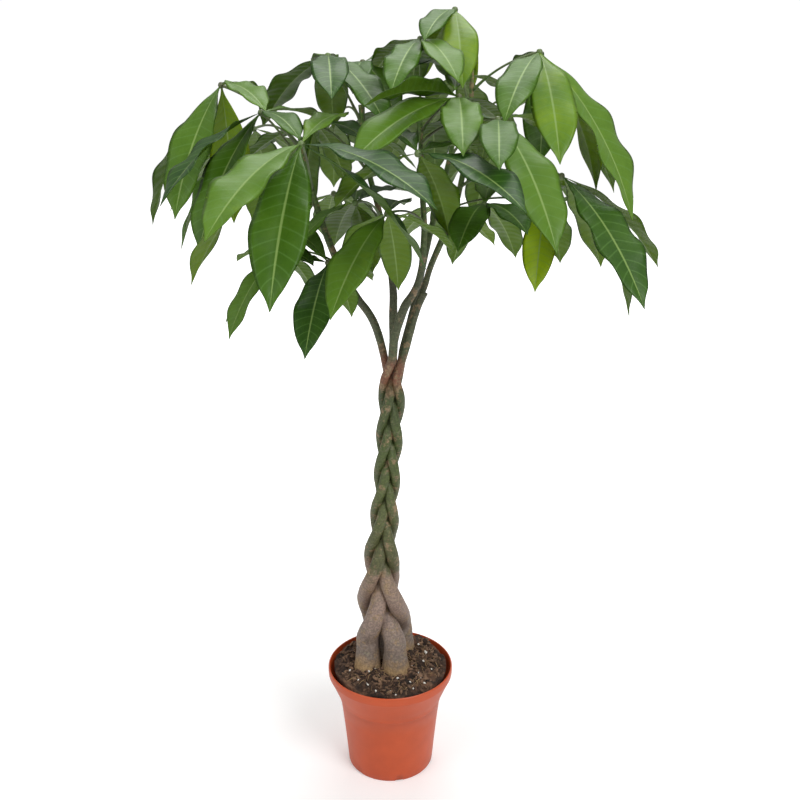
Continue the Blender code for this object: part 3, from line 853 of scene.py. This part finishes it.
# ---------------------------------------------------------------- stems
@dataclass
class Stems:
    """Five stems plaited together, free above the tie; the right one is cut and has a side shoot."""

    sides: int = 28
    press: float = 1.26
    top: float = 0.620
    paths: dict[Any, Array] = field(default_factory=dict)

    def braid_point(self, stem: int, height: float) -> Array:
        """Figure of eight: x = a sgn(cos p) |cos p|^1.5, y = -b sin 2p, turned by SWING.

        Args:
            stem: number of the stem.
            height: height above the floor.

        Returns:
            x, y, z and diameter.
        """
        heights = [row[0] for row in BRAID]
        a, b, d, ax, ay = (np.interp(height, heights, [row[k] for row in BRAID]) for k in range(1, 6))
        fifths = np.interp(height, [t[0] for t in TURNS], [t[1] for t in TURNS])
        p = math.radians(START[stem] + 72 * (fifths + 5))
        x, y = a * math.copysign(abs(math.cos(p)) ** 1.5, math.cos(p)), -b * math.sin(2 * p)
        c, s = math.cos(SWING), math.sin(SWING)
        return np.array([ax + x * c - y * s, ay + x * s + y * c, height, d])

    def path(self, stem: int) -> Array:
        """Centre line and diameter from root to tip.

        Args:
            stem: number of the stem.

        Returns:
            (n, 4) centre line and diameter.
        """
        low = [self.braid_point(stem, z) for z in np.arange(BRAID[0][0], self.top + 1e-6, 0.014)]
        rest = [low[-1], self.braid_point(stem, self.top + 0.014)] + [np.array(q) for q in UPPER[stem]]
        return np.vstack([np.array(low[:-1]), smooth_run(np.array(rest), 0.0175)])

    def grown(self, run: Array, seed: int) -> Array:
        """Fine rings with swellings: radius factor 1 + small sines along and round.

        Args:
            run: (n, 4) centre line and diameter.
            seed: number that shifts the swellings.

        Returns:
            (n, sides, 3) rings.
        """
        fine = smooth_run(run, 0.0035)
        z = fine[:, 2]
        press = np.interp(z, (0.15, 0.24, 0.30, 0.60, 0.66), (1.22, 1.20, self.press, self.press, 1.0))
        fine[:, 3] *= press
        a = np.arange(self.sides) * 2 * math.pi / self.sides
        s = np.arange(len(fine))[:, None] * 0.0035
        rough = (1 + 0.020 * np.sin(2 * a + 60 * s + seed) + 0.014 * np.sin(5 * a - 90 * s + 2 * seed)
                 + 0.012 * np.sin(260 * s + 3 * seed))
        flare = np.interp(z, (0.15, 0.178, 0.20), (1.22, 1.12, 1.0))[:, None]
        return tube_rings(fine, self.sides, rough * flare)

    def build(self, finish: bpy.types.Material) -> None:
        """Make the five stems.

        Args:
            finish: material.
        """
        for stem, name in STEM_NAMES.items():
            self.paths[stem] = self.path(stem)
            lofts = [self.grown(self.paths[stem], stem)]
            if name == "right":
                self.paths["shoot"] = smooth_run(np.array(SHOOT4), 0.016)
                lofts.append(self.grown(self.paths["shoot"], 9))
            closed_object(f"stem_{name}_bark", lofts, f"stem_{name}", finish)


# ---------------------------------------------------------------- leaves
@dataclass
class Canopy:
    """Fans of drooping leaflets on long stalks."""

    paths: dict[Any, Array]
    half_width: float = 0.140
    fold: float = 0.25
    stations: int = 62
    across: tuple[float, ...] = (-1.0, -0.8, -0.58, -0.36, -0.17, -0.045, 0.045, 0.17, 0.36, 0.58, 0.8, 1.0)

    def stalk(self, stem: int, height: float, hub: Array) -> Array:
        """Bowed stalk: a quadratic curve from the stem's side up to the hub.

        Args:
            stem: number of the stem.
            height: height at which it leaves the stem.
            hub: where the leaflets meet.

        Returns:
            (26, 4) centre line and diameter.
        """
        run = self.paths["shoot"] if stem == 4 and height > 0.757 else self.paths[stem]
        order = np.argsort(run[:, 2])
        start = np.array([np.interp(height, run[order, 2], run[order, k]) for k in range(4)])
        out = np.array([hub[0] - start[0], hub[1] - start[1], 0.0])
        out /= np.linalg.norm(out)
        p0 = start[:3] + out * (start[3] / 2 + STALK_GAP)
        reach = float(np.linalg.norm(hub - p0))
        p1 = p0 + out * reach * 0.36 + np.array([0, 0, max(0.25 * reach, (hub[2] - p0[2]) * 0.75)])
        t = np.linspace(-0.02, 1, 26)[:, None]
        centre = (1 - t) ** 2 * p0 + 2 * t * (1 - t) * p1 + t**2 * hub
        width = np.interp(t, np.linspace(0, 1, 5), (0.0044, 0.0030, 0.0028, 0.0029, 0.0040))
        return np.hstack([centre, width])

    def leaflet(self, hub: Array, row: tuple[float, ...], chance: Array) -> tuple[Array, Array]:
        """One blade as rings of a thin closed section.

        Half width is a smooth run through OUTLINE times the widest; the blade folds up from the midrib,
        its margins wave, and between side veins it swells by under a millimetre.

        Args:
            hub: where the leaflets meet.
            row: heading, dip, length in millimetres and optional roll.
            chance: four random numbers.

        Returns:
            Rings (n, k, 3) and blade coordinates (n, k, 3).
        """
        heading, dip, length = math.radians(row[0]), math.radians(row[1]), row[2] / 1000
        roll = math.radians(row[3]) if len(row) > 3 else 0.0
        t = np.linspace(0.012, 1.0, self.stations)
        fine = (np.arange(200) + 0.5) / 200
        angle = dip + SAG * (fine - 0.5)
        step = np.stack([math.cos(heading) * np.cos(angle), math.sin(heading) * np.cos(angle),
            -np.sin(angle)], 1) * length / 200
        line = np.vstack([[0, 0, 0], np.cumsum(step, 0)]) + hub
        centre = np.stack([np.interp(t, np.linspace(0, 1, 201), line[:, k]) for k in range(3)], 1)
        b = dip + SAG * (t - 0.5)
        tangent = np.stack([math.cos(heading) * np.cos(b), math.sin(heading) * np.cos(b), -np.sin(b)], 1)
        level = np.array([-math.sin(heading), math.cos(heading), 0.0])
        side = level * math.cos(roll) + np.cross(tangent, level) * math.sin(roll)
        normal = np.cross(tangent, side)
        shape = smooth_run(np.array([(x, 0.0, y, 0.0) for x, y in OUTLINE]), 0.03)
        width = self.half_width * length * np.interp(t, shape[:, 0], np.maximum(shape[:, 2], 0.02))
        width[-1] = 0.0004
        s = np.concatenate([self.across, self.across[-2:0:-1]])
        above = np.concatenate([np.ones(12), np.zeros(10)])
        edge = 1 - np.abs(s) ** 3
        count = t[:, None] * VEINS
        phase = count - VEIN_SLANT * np.abs(s)
        quilt = 0.00085 * np.abs(np.sin(math.pi * phase)) * np.minimum(1,
            np.abs(s) * 4) * edge * np.minimum(1, width / 0.010)[:, None]
        wave = np.sin(2 * math.pi * (2.2 + 1.6 * chance[0]) * t[:,
            None] + 6.28 * chance[1] + np.sign(s) * 1.1) * s**2 * 0.12
        lift = width[:, None] * (self.fold * (np.abs(s) - 0.30 * s**2) + wave)
        half = (0.00042 * edge + 0.00006) * np.where(above > 0, 1, -1) * np.minimum(1, width / 0.004)[:, None]
        rib = np.where((above == 0) & (np.abs(s) < 0.1), -0.0006, 0.0) * np.minimum(1, width / 0.01)[:, None]
        rings = centre[:, None] + side[:, None] * (width[:, None] * s)[..., None] + normal[:,
            None] * (lift + quilt + half + rib)[..., None]
        blade = np.stack([np.broadcast_to(s, count.shape[:1] + s.shape),
            np.broadcast_to(count, count.shape[:1] + s.shape),
                          np.broadcast_to(above, count.shape[:1] + s.shape)], -1)
        return rings[:, ::-1], blade[:, ::-1]

    def build(self, finish: bpy.types.Material, stalk_finish: bpy.types.Material) -> None:
        """Make every leaf as one object.

        Args:
            finish: material.
            stalk_finish: material of stalk and knuckle.
        """
        rng = np.random.default_rng(5)
        for name, (stem, height, centre, fan) in LEAVES.items():
            hub = np.array(centre, float)
            stalk = tube_rings(self.stalk(stem, height, hub), 10)
            knuckle_line = hub + np.array([[0, 0, z] for z in (-0.0042, -0.0030, 0.0, 0.0028, 0.0040)])
            knuckle = tube_rings(np.hstack([knuckle_line, [[0.003], [0.0066], [0.0084], [0.0064],
                [0.0024]]]), 14)
            bodies: list[tuple[Array, Array, Array, int]] = []
            for rings in (stalk, knuckle):
                bodies.append((rings, np.zeros_like(rings), np.zeros_like(rings), 1))
            for i, row in enumerate(fan):
                rings, blade = self.leaflet(hub, row, rng.uniform(size=4))
                # Tone: the listed leaflets carry painted shade, painted sheen and painted light shining
                # through; a random spread of the leaves' own green is added to all.
                tone = TONES.get((name, i), Tone.PLAIN).value + rng.uniform(-0.22,
                    0.30) * (0.4 if (name, i) in TONES else 1.0)
                tint = np.broadcast_to(np.array([tone, 0.5, rng.uniform()]), rings.shape)
                bodies.append((rings, blade, tint, 0))
            self.join(name, bodies, (finish, stalk_finish))

    def join(self, name: str, bodies: list[tuple[Array, Array, Array, int]],
        finishes: tuple[bpy.types.Material, bpy.types.Material]) -> None:
        """Put a leaf's bodies in one mesh with their attributes and materials.

        Args:
            name: object name.
            bodies: rings, blade coordinates, tint and material number of each.
            finishes: materials in order.
        """
        points, faces, blade, tint, kinds, base = [], [], [], [], [], 0
        for rings, place, shade, kind in bodies:
            p, q = loft(rings)
            points.append(p)
            new = (q + base).tolist() + end_fans(rings.shape[0], rings.shape[1], base)
            faces += new
            kinds += [kind] * len(new)
            for store, values in ((blade, place), (tint, shade)):
                store.append(np.concatenate([values[:1], values, values[-1:]]).reshape(-1, 3))
            base += len(p)
        mesh = bpy.data.meshes.new(f"leaf_{name}_blades")
        mesh.from_pydata(np.vstack(points).tolist(), [], faces)
        mesh.polygons.foreach_set("use_smooth", np.ones(len(mesh.polygons), bool))
        for finish in finishes:
            mesh.materials.append(finish)
        mesh.polygons.foreach_set("material_index", np.array(kinds, np.int32))
        for label, values in (("blade", blade), ("tint", tint)):
            layer = mesh.attributes.new(label, "FLOAT_VECTOR", "POINT")
            layer.data.foreach_set("vector", np.vstack(values).astype(np.float32).ravel())
        mesh.update()
        made = bpy.data.objects.new(f"leaf_{name}_blades", mesh)
        bpy.context.scene.collection.objects.link(made)
        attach(made, "root")
        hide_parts(f"leaf_{name}")
        LOG.info("leaf %s: %d points", name, base)


# ---------------------------------------------------------------- studio
@dataclass
class Studio:
    """Pale floor, soft light and the camera."""

    eye: Colour = (0.015, -1.40, 1.087)
    tilt: float = math.radians(90 - 19.234)
    lens: float = 47.33

    def floor(self) -> None:
        """White floor that keeps the plant's shadow."""
        mesh = bpy.data.meshes.new("floor")
        mesh.from_pydata([(-6, -6, 0), (6, -6, 0), (6, 6, 0), (-6, 6, 0)], [], [(0, 1, 2, 3)])
        made = bpy.data.objects.new("floor", mesh)
        bpy.context.scene.collection.objects.link(made)
        finish, nodes, shader = new_material("pale_floor")
        shader.inputs["Base Color"].default_value = (0.90, 0.90, 0.90, 1.0)
        shader.inputs["Roughness"].default_value = 0.9
        shader.inputs["Specular IOR Level"].default_value = 0.1
        shader.inputs["Emission Color"].default_value = (1.0, 1.0, 1.0, 1.0)
        spot = nodes.add("ShaderNodeVectorMath", operation="LENGTH")
        nodes.link(nodes.add("ShaderNodeTexCoord").outputs["Object"], spot.inputs[0])
        far = nodes.add("ShaderNodeMapRange")
        for socket, value in zip(far.inputs, (spot.outputs["Value"], 0.30, 0.95, 0.17, 1.0)):
            nodes.feed(socket, value)
        seen = nodes.add("ShaderNodeLightPath").outputs["Is Camera Ray"]
        nodes.link(nodes.math("MULTIPLY", seen, far.outputs[0]), shader.inputs["Emission Strength"])
        mesh.materials.append(finish)

    def lamp(self, name: str, place: Colour, power: float, size: float) -> None:
        """A square soft lamp aimed at the plant's middle.

        Args:
            name: object name.
            place: lamp position.
            power: watts.
            size: side of the lamp.
        """
        data = bpy.data.lights.new(name, "AREA")
        data.energy, data.size = power, size
        made = bpy.data.objects.new(name, data)
        made.location = place
        made.rotation_euler = (Vector((0.0, 0.0, 0.6)) - Vector(place)).to_track_quat("-Z", "Y").to_euler()
        bpy.context.scene.collection.objects.link(made)

    def build(self) -> None:
        """Set up floor, light, world and camera."""
        self.floor()
        self.lamp("key", (1.6, -2.0, 2.9), 66.0, 1.6)
        self.lamp("fill", (-2.2, -1.6, 2.0), 22.0, 1.8)
        self.lamp("top", (0.2, 1.2, 2.9), 34.0, 1.6)
        world = bpy.data.worlds.new("studio")
        world.use_nodes = True
        back = world.node_tree.nodes["Background"]
        nodes = Nodes(world.node_tree)
        seen = nodes.add("ShaderNodeLightPath").outputs["Is Camera Ray"]
        nodes.link(nodes.math("ADD", 0.46, nodes.math("MULTIPLY", seen, 0.56)), back.inputs["Strength"])
        back.inputs["Color"].default_value = (1.0, 1.0, 1.0, 1.0)
        bpy.context.scene.world = world
        data = bpy.data.cameras.new("camera")
        data.lens, data.sensor_width = self.lens, 36.0
        made = bpy.data.objects.new("camera", data)
        made.location, made.rotation_euler = self.eye, (self.tilt, 0.0, 0.0)
        bpy.context.scene.collection.objects.link(made)
        bpy.context.scene.camera = made
        bpy.context.scene.view_settings.view_transform = "Standard"


def main() -> None:
    """Build the plant and its studio."""
    logging.basicConfig(level=logging.INFO)
    group = mottle_group()
    NurseryPot().build(PotPlastic().make(group))
    bed = SoilBed()
    bed.bed(Peat().make(group))
    bark_bits = Bits("bark_bits", (0.23, 0.135, 0.080), (0.055, 0.030, 0.018)).make(group)
    bed.chips("soil_chips", 560, (0.0018, 0.0058), 0.42, bark_bits)
    bed.chips("soil_crumbs", 420, (0.0008, 0.0022), 0.8, Bits("dark_crumbs", (0.018, 0.011, 0.008), (0.06,
        0.032, 0.02)).make(group))
    bed.chips("soil_grains", 46, (0.0010, 0.0024), 0.85, Bits("white_grains", (0.82, 0.80, 0.76), (0.70,
        0.67, 0.60)).make(group))
    bed.fibres(150, Bits("dry_fibres", (0.42, 0.28, 0.14), (0.25, 0.15, 0.07)).make(group))
    stems = Stems()
    stems.build(Bark().make(group))
    Canopy(stems.paths).build(Blade().make(group), Stalk().make(group))
    Studio().build()


if __name__ == "__main__":
    main()
